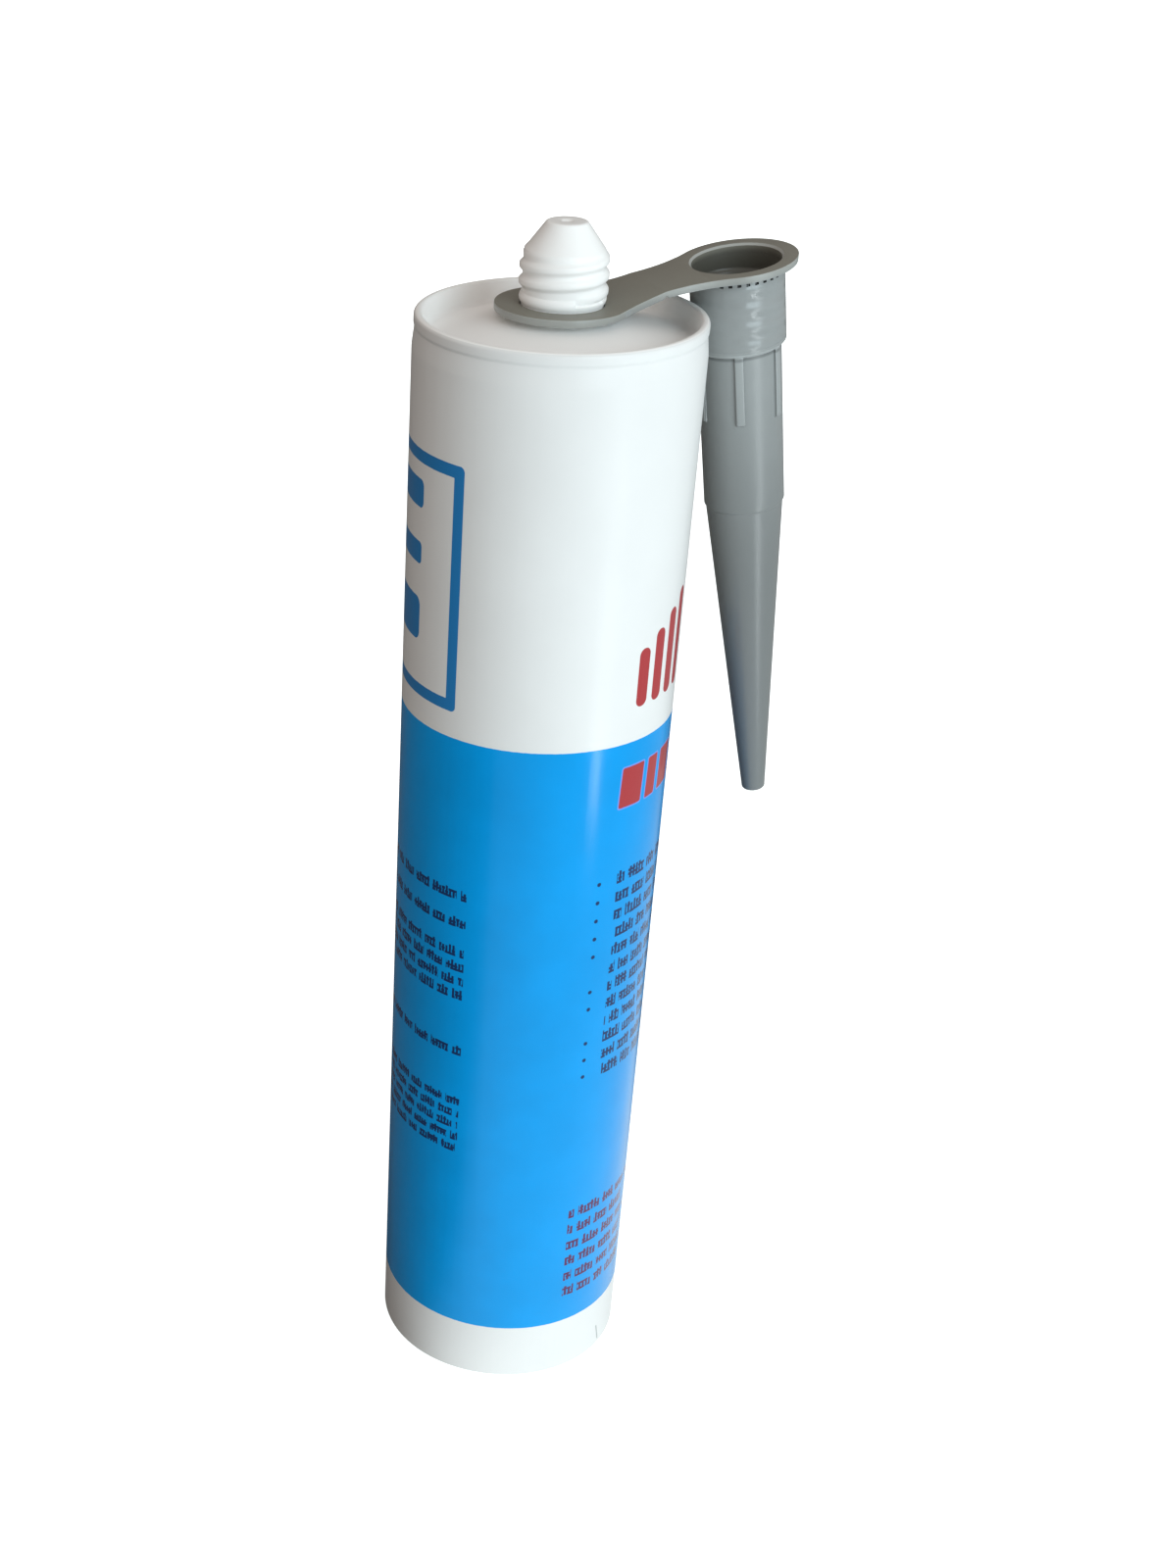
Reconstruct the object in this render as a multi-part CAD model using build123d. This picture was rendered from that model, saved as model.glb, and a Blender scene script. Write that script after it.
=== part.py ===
from build123d import *
from math import cos, radians, sin, sqrt, tan
import os

# A 310 ml caulk cartridge that stands on its open rear end, with its nozzle still hanging from the neck.
# +Z runs up the tube, the origin is the centre of the rear rim, and the strap leaves the neck along +X.

# Cuts run past their faces by this much
overrun = 1.0

# Running clearance between pieces that slide or turn in each other
clearance = 0.3

# Tube
tube_radius = 25.0
tube_wall = 1.5
tube_height = 215.0
mouth_chamfer = 0.7

# Rim bead round the recessed head, the groove below it and the shoulder that widens to the tube
rim_setback = 0.2
rim_wall = 1.9
rim_draft = 0.5
rim_bevel = 0.45
rim_height = 1.8
groove_depth = 0.7
groove_flank = 0.5
shoulder_flank = 0.8
shoulder_setback = 0.3
shoulder_length = 2.5

# Recessed head, a shallow cone that climbs to the neck's seat
head_depth = 4.0
head_wall = 1.7
head_rise = 3.8
head_corner = 0.8

# Seat round the foot of the neck, which carries the nozzle's ring
seat_radius = 8.8
seat_height = 4.2

# Neck with its cone and pierce-off tip
neck_radius = 6.9
neck_length = 18.9
cone_length = 4.6
tip_radius = 3.4
tip_bevel = 0.4
tip_wall = 1.2
neck_bore_radius = 4.9
dimple_radius = 0.9
dimple_depth = 0.4

# Thread on the neck: one rounded ridge
thread_pitch = 2.55
thread_height = 0.7
thread_crest = 0.6
thread_foot = 1.7
thread_turns = 2.8
thread_start = 115.0
thread_root_sink = 0.25
thread_gap = 0.5

# Piston
piston_depth = 12.0
piston_length = 18.0
piston_face = 2.0
piston_bevel = 0.8
lip_height = 3.2
lip_depth = 0.9
lip_slope = 0.8
skirt_wall = 1.6
web_count = 6
web_thickness = 1.4
web_height = 2.5

# Strap that ties the nozzle to the neck
strap_thickness = 1.2
ring_radius = 11.4
ring_bend = 7.6
crease_reach = 16.0
crease_rise = 2.1
crease_cut = 0.5
waist_arc = 22.0

# Flange over the nozzle's mouth, and how the nozzle leans outward
lean = 9.2
flange_radius = 10.4
hole_chamfer = 0.25

# Nozzle: collar, ribbed barrel and tapered spout
socket_play = 0.05
collar_wall = 0.5
collar_length = 14.8
collar_chamfer = 0.6
socket_length = 12.4
seat_cone = 1.5
nozzle_gap = 0.35
barrel_radius = 7.3
barrel_foot_radius = 7.18
barrel_end = 43.5
barrel_wall = 0.95
step_depth = 0.27
spout_end = 104.5
spout_tip_radius = 2.2
spout_wall = 0.9
rib_count = 6
rib_width = 1.6
rib_height = 0.45
rib_end = 27.3
rib_run_out = 0.5

# Perforations that let the nozzle be torn off its flange
perforation_count = 34
perforation_width = 0.8
perforation_height = 0.45
perforation_depth = 0.3

# Places that follow from the sizes above
bore_radius = tube_radius - tube_wall
rim_radius = tube_radius - rim_setback
recess_radius = rim_radius - rim_wall
head_z = tube_height - head_depth
seat_z = head_z + seat_height
neck_top_z = head_z + neck_length
cone_z = neck_top_z - cone_length
crest_radius = neck_radius + thread_height
ring_z = seat_z + clearance
ring_top_z = ring_z + strap_thickness
ring_bore_radius = neck_radius + clearance
thread_z = ring_top_z + thread_gap + thread_foot / 2
piston_z = piston_depth + piston_length
piston_radius = bore_radius - clearance

# The nozzle hangs just clear of the tube's side, at the height where the flange's slope puts it
slope = tan(radians(lean))
socket_radius = crest_radius + socket_play
collar_radius = socket_radius + collar_wall
crease_z = ring_top_z + crease_rise


def nozzle_reach():
    """Reach at which the leaning collar passes the rim with the nozzle's gap to spare."""
    beside = tube_radius + nozzle_gap + collar_radius * cos(radians(lean))
    drop = (crease_z - tube_height) / cos(radians(lean)) - collar_radius * slope
    return (beside - drop * sin(radians(lean)) + crease_reach * slope**2) / (1 + slope**2)


nozzle_x = nozzle_reach()
nozzle_z = crease_z + (nozzle_x - crease_reach) * slope


def turned(points, *bevelled):
    """Revolve a half section, given as (radius, height) points, with some of its corners bevelled."""
    face = make_face(Polyline(*points, close=True))
    for corner, size in bevelled:
        spot = face.vertices().sort_by_distance(Vector(*corner))[0]
        face = chamfer(spot, size)
    return revolve(Plane.XZ * face, Axis.Z)


def thread_ridge(root_radius, height, start_z):
    """One rounded ridge that winds up round the neck."""
    path = Pos(0, 0, start_z) * Helix(thread_pitch, thread_pitch * thread_turns, root_radius)
    foot, crest = thread_foot / 2, thread_crest / 2
    outline = Polyline((0, -foot), (height, -crest), (height, crest), (0, foot), close=True)
    begin = path @ 0
    section = Pos(begin.X, 0, begin.Z) * (Plane.XZ * make_face(outline))
    return sweep(section, path, is_frenet=True)


def neck_thread():
    """The neck's ridge, faded into the cone at its upper end."""
    root = neck_radius - thread_root_sink
    ridge = thread_ridge(root, thread_height + thread_root_sink, thread_z)
    fade_z = thread_z + thread_pitch * (thread_turns - 1)
    top_z = cone_z + cone_length / 2
    top_radius = (neck_radius + tip_radius) / 2
    envelope = turned(
        [
            (0, thread_z - thread_pitch),
            (crest_radius, thread_z - thread_pitch),
            (crest_radius, fade_z),
            (top_radius, top_z),
            (0, top_z),
        ]
    )
    return Rot(0, 0, thread_start) * (ridge & envelope)


def cartridge():
    """Tube, rim, recessed head and threaded neck, moulded in one piece."""
    groove_z = tube_height - rim_height - groove_flank
    shoulder_z = groove_z - shoulder_flank
    under_head = head_z - head_wall
    seat_foot_z = head_z + head_rise
    outline = [
        (bore_radius, 0),
        (tube_radius, 0),
        (tube_radius, shoulder_z - shoulder_length),
        (tube_radius - shoulder_setback, shoulder_z),
        (tube_radius - groove_depth, groove_z),
        (rim_radius, groove_z + groove_flank),
        (rim_radius, tube_height),
        (recess_radius + rim_draft, tube_height),
        (recess_radius, head_z),
        (seat_radius, seat_foot_z),
        (seat_radius, seat_z),
        (neck_radius, seat_z),
        (neck_radius, cone_z),
        (tip_radius, neck_top_z),
        (0, neck_top_z),
        (0, neck_top_z - tip_wall),
        (tip_radius - tip_wall, neck_top_z - tip_wall),
        (neck_bore_radius, cone_z),
        (neck_bore_radius, seat_foot_z - head_wall),
        (bore_radius, under_head),
    ]
    body = turned(
        outline,
        ((rim_radius, tube_height), rim_bevel),
        ((recess_radius + rim_draft, tube_height), rim_bevel),
        ((recess_radius, head_z), head_corner),
        ((tip_radius, neck_top_z), tip_bevel),
    )
    mouth = Cone(
        bore_radius + mouth_chamfer, bore_radius, mouth_chamfer, align=(Align.CENTER, Align.CENTER, Align.MIN)
    )
    dimple = Pos(0, 0, neck_top_z) * Cone(
        0, dimple_radius, dimple_depth, align=(Align.CENTER, Align.CENTER, Align.MAX)
    )
    return body - mouth - dimple + neck_thread()


def piston():
    """Follower cup with two sealing lips, closed in front and stiffened behind by low crossing webs."""
    waist = piston_radius - lip_depth
    cup_radius = waist - skirt_wall
    low, high = piston_depth, piston_z
    face_z = high - piston_face
    outline = [
        (0, face_z),
        (cup_radius, face_z),
        (cup_radius, low),
        (piston_radius, low),
        (piston_radius, low + lip_height),
        (waist, low + lip_height + lip_slope),
        (waist, high - lip_height - lip_slope),
        (piston_radius, high - lip_height),
        (piston_radius, high),
        (0, high),
    ]
    cup = turned(outline, ((piston_radius, high), piston_bevel))
    web = Pos(0, 0, face_z - web_height) * Box(
        cup_radius + skirt_wall / 2,
        web_thickness,
        web_height + piston_face / 2,
        align=(Align.MIN, Align.CENTER, Align.MIN),
    )
    webs = [Rot(0, 0, 360 * n / web_count) * web for n in range(web_count)]
    return cup + webs


def sealant():
    """Column of sealant between the piston and the head, with the plug that fills the neck."""
    radius = bore_radius - clearance
    plug = neck_bore_radius - clearance
    low = piston_z + clearance
    shoulder = head_z - head_wall - clearance
    crown = shoulder + head_rise
    top = cone_z - clearance
    return turned([(0, low), (radius, low), (radius, shoulder), (plug, crown), (plug, top), (0, top)])


def strap_outline():
    """Plan of the strap: the ring's disc and the flange's disc, joined by a waist of two hollow arcs."""
    reach = nozzle_x
    ring_pull = ring_radius + waist_arc
    flange_pull = flange_radius + waist_arc
    arc_x = (reach**2 + ring_pull**2 - flange_pull**2) / (2 * reach)
    arc_y = sqrt(ring_pull**2 - arc_x**2)
    ring_touch = Vector(arc_x, arc_y) * (ring_radius / ring_pull)
    flange_centre = Vector(reach, 0)
    flange_touch = flange_centre + (Vector(arc_x, arc_y) - flange_centre) * (flange_radius / flange_pull)
    corners = [
        (ring_touch.X, ring_touch.Y),
        (flange_touch.X, flange_touch.Y),
        (flange_touch.X, -flange_touch.Y),
        (ring_touch.X, -ring_touch.Y),
    ]
    discs = Circle(ring_radius) + Pos(reach, 0) * Circle(flange_radius)
    plan = discs + make_face(Polyline(*corners, close=True))
    return plan - Pos(arc_x, arc_y) * Circle(waist_arc) - Pos(arc_x, -arc_y) * Circle(waist_arc)


def strap():
    """Ring, bent strap and flange, as one sheet whose fold is notched from below."""
    end_x = nozzle_x + flange_radius + overrun
    end_z = crease_z + (end_x - crease_reach) * slope
    start_x = -ring_radius - overrun
    upper = [(start_x, ring_top_z), (ring_bend, ring_top_z), (crease_reach, crease_z), (end_x, end_z)]
    lower = [(x, z - strap_thickness) for x, z in reversed(upper)]
    side = make_face(Polyline(*upper, *lower, close=True))
    sheet = extrude(Plane.XZ * side, flange_radius + ring_radius, both=True)
    height = crease_rise + flange_radius * 2 + strap_thickness
    under_z = crease_z - strap_thickness
    column = Pos(0, 0, ring_z - overrun) * extrude(strap_outline(), height)
    notch = make_face(
        Polyline(
            (crease_reach - crease_cut, under_z - crease_cut),
            (crease_reach, under_z + crease_cut),
            (crease_reach + crease_cut, under_z - crease_cut),
            close=True,
        )
    )
    crease = extrude(Plane.XZ * notch, flange_radius + ring_radius, both=True)
    return (sheet & column) - crease


def barrel_ribs():
    """Short ribs down the barrel below the collar, each run out at its lower end."""
    inner = barrel_radius - barrel_wall / 2
    top = -collar_length + collar_chamfer
    outer = barrel_radius + rib_height
    side = Polyline(
        (inner, top),
        (outer, top),
        (outer, -rib_end + rib_run_out),
        (inner, -rib_end),
        close=True,
    )
    rib = extrude(Plane.XZ * make_face(side), rib_width / 2, both=True)
    return [Rot(0, 0, 360 * n / rib_count) * rib for n in range(rib_count)]


def perforations():
    """Row of small cuts where the collar hangs from the flange."""
    cut = Pos(collar_radius - perforation_depth, 0, -strap_thickness) * Box(
        perforation_depth + overrun,
        perforation_width,
        perforation_height,
        align=(Align.MIN, Align.CENTER, Align.MAX),
    )
    return [Rot(0, 0, 360 * n / perforation_count) * cut for n in range(perforation_count)]


def nozzle_body():
    """Collar, barrel and spout about their own axis, with the flange's upper face at height zero."""
    inner_top = barrel_radius - barrel_wall
    inner_foot = barrel_foot_radius - step_depth - spout_wall
    under = -strap_thickness / 2
    outline = [
        (socket_radius, under),
        (collar_radius, under),
        (collar_radius, -collar_length + collar_chamfer),
        (collar_radius - collar_chamfer, -collar_length),
        (barrel_radius, -collar_length),
        (barrel_foot_radius, -barrel_end),
        (barrel_foot_radius - step_depth, -barrel_end - step_depth),
        (spout_tip_radius, -spout_end),
        (spout_tip_radius - spout_wall, -spout_end),
        (inner_foot, -barrel_end),
        (inner_top, -socket_length - seat_cone),
        (socket_radius, -socket_length),
    ]
    return turned(outline) + barrel_ribs() - perforations()


def nozzle():
    """Ring, strap, flange, collar, barrel and spout, moulded in one piece."""
    place = Pos(nozzle_x, 0, nozzle_z) * Rot(0, -lean, 0)
    mouth = Cylinder(socket_radius, strap_thickness * 4)
    lead_in = Cone(socket_radius, socket_radius + hole_chamfer * 2, hole_chamfer * 2)
    ring_hole = Pos(0, 0, ring_z) * Cylinder(ring_bore_radius, strap_thickness * 4)
    sheet = strap() - place * mouth - ring_hole
    return (sheet + place * nozzle_body()) - place * lead_in


pieces = {
    "cartridge": cartridge(),
    "piston": piston(),
    "sealant": sealant(),
    "nozzle": nozzle(),
}

os.makedirs("parts", exist_ok=True)
for name, shape in pieces.items():
    export_step(shape, f"parts/{name}.step")
    print(name, round(shape.volume), "mm3", "valid" if shape.is_valid else "not valid")
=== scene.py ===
from math import atan2, cos, pi, radians, sin, sqrt, tan, tau

import bmesh
import bpy
from bpy.props import FloatProperty, FloatVectorProperty, IntProperty, PointerProperty
from mathutils import Matrix, Vector


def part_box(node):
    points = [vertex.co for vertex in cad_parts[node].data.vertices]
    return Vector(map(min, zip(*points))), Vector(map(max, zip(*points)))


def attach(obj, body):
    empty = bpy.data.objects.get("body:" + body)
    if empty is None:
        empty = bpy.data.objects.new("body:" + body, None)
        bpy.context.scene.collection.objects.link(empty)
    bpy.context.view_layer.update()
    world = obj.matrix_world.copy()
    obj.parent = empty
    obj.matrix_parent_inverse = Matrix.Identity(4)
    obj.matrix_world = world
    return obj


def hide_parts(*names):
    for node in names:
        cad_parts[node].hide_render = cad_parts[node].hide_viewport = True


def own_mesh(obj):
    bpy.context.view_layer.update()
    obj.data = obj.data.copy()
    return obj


bl_info = {
    "name": "Caulk tube",
    "version": (1, 0, 0),
    "blender": (4, 5, 0),
    "location": "View3D > Sidebar > Caulk tube",
    "description": "Models a sealant cartridge with its tethered nozzle, and the stage it stands on",
    "category": "Add Mesh",
}

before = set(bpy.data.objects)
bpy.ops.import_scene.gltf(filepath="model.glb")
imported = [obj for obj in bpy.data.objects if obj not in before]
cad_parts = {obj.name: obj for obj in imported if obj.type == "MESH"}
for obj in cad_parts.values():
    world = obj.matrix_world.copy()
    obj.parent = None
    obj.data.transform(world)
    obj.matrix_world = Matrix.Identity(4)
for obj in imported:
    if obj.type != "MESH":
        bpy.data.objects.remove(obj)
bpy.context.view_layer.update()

MM = 0.001

# The far corners of the solids' boxes, read from the frame
TUBE_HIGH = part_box("cartridge")[1]
PISTON_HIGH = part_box("piston")[1]

# Small sizes that belong to no one piece
CLEARANCE = 0.3 * MM
NOZZLE_GAP = 0.35 * MM
SAME_POINT = 1e-6
ON_WALL = 2e-5

# Faces round the strap's ends and along its waist, and the angle below which edges look smooth
RING_STEPS, WAIST_STEPS = 112, 28
SMOOTH_ANGLE, PISTON_SMOOTH_ANGLE = 32, 30

# The photograph's frame and the camera that fits it, in pixels, millimetres and degrees
PHOTO_WIDTH, PHOTO_HEIGHT = 1175, 1600
FOCAL_PIXELS = 2180.4
CENTRE_X_PIXELS, CENTRE_Y_PIXELS = 360.0, 1024.0
SENSOR = 36.0
FACING = 26.82
CAMERA_DISTANCE, CAMERA_HEIGHT = 365.44, 310.47
CAMERA_PITCH, CAMERA_HEADING, CAMERA_ROLL = 32.689, -5.199, 0.894

# Lamps aimed at the tube: azimuth and elevation in degrees, distance and sides in metres
KEY_PLACE = (37.0, 17.0, 2.0, (1.2, 1.6))
FILL_PLACE = (-80.0, 27.0, 0.6, (0.35, 0.35))

# Lamps on the floor: near end, far end and width in metres
STREAK_PLACE = (0.235, 0.34, 0.024)
PANE_NEAR_PLACE = (0.34, 0.6, 0.1)
PANE_FAR_PLACE = (0.62, 0.88, 0.26)

# Tints of the lamps and of the light from all round
KEY_TINT = (0.77, 0.93, 1.0)
FILL_TINT = (1.0, 0.86, 0.76)
FLOOR_TINT = (0.9, 0.97, 1.0)
SKY_TINT = (1.0, 0.93, 0.88, 1)


def as_number(name, description, value, subtype="NONE"):
    """Property that a user can change. The four below it do the same for other kinds."""
    return FloatProperty(name=name, description=description, default=value, subtype=subtype)


def as_length(name, description, millimetres):
    return as_number(name, description, millimetres * MM, "DISTANCE")


def as_angle(name, description, degrees):
    return as_number(name, description, radians(degrees), "ANGLE")


def as_count(name, description, value, least):
    return IntProperty(name=name, description=description, default=value, min=least)


def as_colour(name, description, values):
    return FloatVectorProperty(name=name, description=description, default=values, subtype="COLOR")


class TubeSizes(bpy.types.PropertyGroup):
    """Sizes of the tube, its rim, head and neck."""

    wall: as_length("Wall", "Wall of the tube", 1.5)
    height: as_length("Height", "Height of the rim", 215)
    rim_setback: as_length("Rim setback", "How far the rim lies inside the tube", 0.2)
    rim_wall: as_length("Rim wall", "Wall of the rim at the recessed head", 1.9)
    rim_draft: as_length("Rim draft", "How far the recess widens to its top", 0.5)
    rim_height: as_length("Rim height", "Straight height of the rim", 1.8)
    groove_depth: as_length("Groove depth", "Depth of the groove under the rim", 0.42)
    head_depth: as_length("Head depth", "Depth of the recessed head", 4)
    head_wall: as_length("Head wall", "Wall of the head", 1.7)
    head_rise: as_length("Head rise", "How far the head cones up", 3.8)
    seat_radius: as_length("Seat radius", "Seat at the foot of the neck", 8.8)
    seat_height: as_length("Seat height", "Height of the seat over the recess", 4.2)
    neck_radius: as_length("Neck radius", "Root of the neck's thread", 6.9)
    foot_swell: as_length("Foot swell", "Bulge of the neck over the ring", 0.42)
    neck_bore: as_length("Neck bore", "Bore of the neck", 4.9)
    cone_length: as_length("Cone length", "Height of the cone on the neck", 4.6)
    tip_radius: as_length("Tip radius", "Flat tip that is pierced", 3.4)
    tip_wall: as_length("Tip wall", "Wall of the tip", 1.2)
    thread_pitch: as_length("Thread pitch", "Rise of the thread in a turn", 2.55)
    thread_height: as_length("Thread height", "Height of the thread's ridge", 0.62)
    thread_turns: as_number("Thread turns", "Turns of the neck's thread", 2.8)
    thread_start: as_angle("Thread start", "Where the thread starts", 259)
    round_steps: as_count("Round steps", "Faces round the tube", 192, 24)
    squeezed: as_number("Squeezed", "Share of the sealant's length left when the piston is home", 0.0487)


class NozzleSizes(bpy.types.PropertyGroup):
    """Sizes of the nozzle and of the strap that ties it to the neck."""

    thickness: as_length("Thickness", "Of the strap", 1.2)
    ring_radius: as_length("Ring radius", "Ring round the neck", 11.4)
    ring_bore: as_length("Ring bore", "Hole in the ring", 7.2)
    flange_radius: as_length("Flange radius", "Flange round the mouth", 10.4)
    waist_arc: as_length("Waist arc", "Hollow arcs at the strap's waist", 22)
    ring_bend: as_length("Ring bend", "Where the strap leaves the ring's plane", 7.6)
    crease_reach: as_length("Crease reach", "Distance of the fold from the neck", 16)
    crease_rise: as_length("Crease rise", "Height of the fold over the ring", 2.1)
    lean: as_angle("Lean", "How far the nozzle hangs outward", 9.2)
    socket_radius: as_length("Socket radius", "Root of the socket's thread", 7.65)
    socket_length: as_length("Socket length", "Depth of the socket", 12.4)
    collar_wall: as_length("Collar wall", "Wall of the collar", 0.5)
    collar_length: as_length("Collar length", "From the flange to the collar's foot", 14.8)
    barrel_radius: as_length("Barrel radius", "Barrel below the collar", 7.3)
    barrel_taper: as_length("Barrel taper", "How much the barrel narrows", 0.12)
    barrel_end: as_length("Barrel end", "From the flange to the step", 43.5)
    step_depth: as_length("Step depth", "Step between barrel and spout", 0.27)
    spout_end: as_length("Spout end", "From the flange to the tip", 104.5)
    spout_tip: as_length("Spout tip", "Outer radius of the tip", 2.2)
    wall: as_length("Wall", "Wall of barrel and spout", 0.95)
    rib_width: as_length("Rib width", "Width of a rib", 1.6)
    rib_height: as_length("Rib height", "Height of a rib", 0.45)
    rib_end: as_length("Rib end", "From the flange to the ribs' feet", 27.3)
    rib_count: as_count("Ribs", "Number of ribs", 6, 3)
    cut_count: as_count("Cuts", "Perforations under the flange", 34, 8)
    round_steps: as_count("Round steps", "Faces round the nozzle", 96, 24)


class PrintLook(bpy.types.PropertyGroup):
    """Heights and colours of the tube's print."""

    band_low: as_length("Band foot", "Lower edge of the blue band", 13.0)
    band_high: as_length("Band top", "Upper edge of the blue band", 145.5)
    white: as_colour("White", "Moulded polyethylene", (0.80, 0.80, 0.79))
    head_white: as_colour("Head white", "Bare polyethylene of head and neck", (0.93, 0.925, 0.91))
    blue: as_colour("Blue", "Ink of the band", (0.0, 0.335, 0.82))
    frame_blue: as_colour("Frame blue", "Ink of the outlined field", (0.02, 0.20, 0.50))
    dark: as_colour("Dark", "Ink of the small print", (0.008, 0.035, 0.12))
    plum: as_colour("Plum", "Ink of the rows at the foot", (0.10, 0.03, 0.10))
    red: as_colour("Red", "Ink of the headings", (0.40, 0.045, 0.05))
    grey: as_colour("Grey", "Nozzle's polyethylene", (0.285, 0.30, 0.298))
    # Painted shade: a darker olive grey in the place of the shade on the nozzle's upper faces
    top_shade_grey: as_colour("Matte grey", "Nozzle's matte upper faces", (0.205, 0.198, 0.165))


class StageLook(bpy.types.PropertyGroup):
    """Floor, lamps and camera."""

    floor_radius: as_length("Floor radius", "Size of the floor", 3000)
    key_power: as_number("Key power", "Large lamp at the right, in watts", 31.0)
    fill_power: as_number("Fill power", "Large lamp at the left, in watts", 0.28)
    ambient: as_number("Ambient", "Light from the bright side, at the horizon", 0.52)
    ambient_dark: as_number("Dark side", "Light from the dark side, at the horizon", 0.05)
    bright_azimuth: as_number("Bright side", "Degrees to the camera's right", 42.0)
    pane_power: as_number("Pane power", "Wide lamp on the floor farther out, in watts", 1.0)
    pane_near_power: as_number("Near pane power", "Lamp on the floor between the other two, in watts", 0.38)
    zenith: as_number("Zenith", "Light from straight above", 0.56)
    streak_power: as_number("Streak power", "Narrow lamp on the floor, in watts", 0.12)
    streak_azimuth: as_number("Streak azimuth", "Degrees to the camera's right", 54.0)
    bounce: as_number("Bounce", "Light that the floor in front gives back", 0.88)
    bounce_azimuth: as_number("Bounce azimuth", "Degrees to the camera's right", 60.0)
    bounce_edge: as_length("Bounce edge", "Where the bright floor starts", 0)


def deselect():
    """Leave nothing selected, in object mode."""
    if bpy.context.object and bpy.context.object.mode != "OBJECT":
        bpy.ops.object.mode_set(mode="OBJECT")
    bpy.ops.object.select_all(action="DESELECT")


def choose(*objects):
    """Select these objects only, and make the first the active one."""
    deselect()
    for obj in objects:
        obj.select_set(True)
    bpy.context.view_layer.objects.active = objects[0]


def pick(obj, test):
    """In edit mode, select the vertices whose place passes a test."""
    bpy.ops.mesh.select_mode(type="VERT")
    bpy.ops.mesh.select_all(action="DESELECT")
    mesh = bmesh.from_edit_mesh(obj.data)
    for vertex in mesh.verts:
        vertex.select_set(test(vertex.co))
    mesh.select_flush_mode()
    bmesh.update_edit_mesh(obj.data)


def apply_modifier(obj, kind, **settings):
    """Add a modifier, set it and apply it."""
    choose(obj)
    bpy.ops.object.modifier_add(type=kind)
    modifier = obj.modifiers[-1]
    for key, value in settings.items():
        setattr(modifier, key, value)
    bpy.ops.object.modifier_apply(modifier=modifier.name)


def place(obj, matrix):
    """Move an object and write the move into its mesh."""
    obj.matrix_world = matrix
    choose(obj)
    bpy.ops.object.transform_apply(location=True, rotation=True, scale=True)


def block(sides, centre):
    """Add a block, with its sides and centre written into its mesh."""
    deselect()
    bpy.ops.mesh.primitive_cube_add(size=1, location=(0, 0, 0))
    obj = bpy.context.object
    obj.scale = sides
    obj.location = centre
    bpy.ops.object.transform_apply(location=True, rotation=True, scale=True)
    return obj


def outward(obj):
    """Merge doubled vertices and turn all faces outward."""
    choose(obj)
    bpy.ops.object.mode_set(mode="EDIT")
    bpy.ops.mesh.select_all(action="SELECT")
    bpy.ops.mesh.remove_doubles(threshold=SAME_POINT)
    bpy.ops.mesh.normals_make_consistent(inside=False)
    bpy.ops.object.mode_set(mode="OBJECT")


def finish_piece(obj, body, material):
    """Shade a finished piece, and give it its body and material."""
    choose(obj)
    bpy.ops.object.shade_smooth_by_angle(angle=radians(SMOOTH_ANGLE))
    obj.data.materials.clear()
    obj.data.materials.append(material)
    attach(obj, body)


def draw_chain(name, points):
    """Draw a chain of edges through points, and stay in edit mode."""
    deselect()
    bpy.ops.mesh.primitive_plane_add(size=MM, location=(0, 0, 0))
    obj = bpy.context.object
    obj.name = name
    bpy.ops.object.mode_set(mode="EDIT")
    bpy.ops.mesh.select_mode(type="VERT")
    bpy.ops.mesh.merge(type="CENTER")
    bpy.ops.transform.translate(value=points[0])
    for last, point in zip(points, points[1:]):
        bpy.ops.mesh.extrude_vertices_move(TRANSFORM_OT_translate={"value": point - last})
    return obj


def lathe(name, outline, rounds, steps, cuts=()):
    """Spin an outline of (radius, height) points into a solid.

    Each round is a corner, its radius in millimetres and its segments. Each cut is the edge between
    two points and the number of times it is divided.
    """
    points = [Vector((radius, 0, height)) for radius, height in outline]
    obj = draw_chain(name, points)
    near = 2 * SAME_POINT
    for index, radius, segments in rounds:
        corner = points[index]
        before = (points[index - 1] - corner).normalized()
        after = (points[index + 1] - corner).normalized()
        half = before.angle(after) / 2
        pick(obj, lambda co: (co - corner).length < near)
        offset = radius * MM / tan(half)
        bpy.ops.mesh.bevel(offset=offset, segments=segments, affect="VERTICES", clamp_overlap=True)
    for first, second, count in cuts:
        low, high = sorted((points[first].z, points[second].z))
        side = (points[second] - points[first]).normalized()

        def between(co):
            along = (co - points[first]).dot(side)
            away = (co - points[first] - side * along).length
            return low - near < co.z < high + near and away < near * 4

        pick(obj, between)
        bpy.ops.mesh.subdivide(number_cuts=count)
    bpy.ops.mesh.select_all(action="SELECT")
    bpy.ops.mesh.spin(steps=steps, angle=tau, center=(0, 0, 0), axis=(0, 0, 1))
    outward(obj)
    return obj


def wind_thread(obj, low, high, root, lift, pitch, start, low_fade, high_fade):
    """Raise a rounded helical ridge on the wall whose radius the root gives at each height."""
    begin = low + pitch / 2
    turns = (high - low) / pitch - 1
    foot, crest = pitch * 0.44, pitch * 0.10
    for vertex in obj.data.vertices:
        x, y, z = vertex.co
        radius = sqrt(x * x + y * y)
        if not low < z < high or abs(radius - root(z)) > ON_WALL:
            continue
        wound = ((atan2(y, x) - start) / tau) % 1
        turn = round((z - begin) / pitch - wound) + wound
        if turn < -0.5 or turn > turns + 0.5:
            continue
        away = abs(z - begin - turn * pitch)
        share = min(max((foot - away) / (foot - crest), 0), 1)
        ridge = share * share * (3 - 2 * share)
        rising = min(max(turn / low_fade, 0), 1)
        falling = min(max((turns - turn) / high_fade, 0), 1)
        grown = radius + lift * ridge * rising * falling
        vertex.co = Vector((x * grown / radius, y * grown / radius, z))


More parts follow.
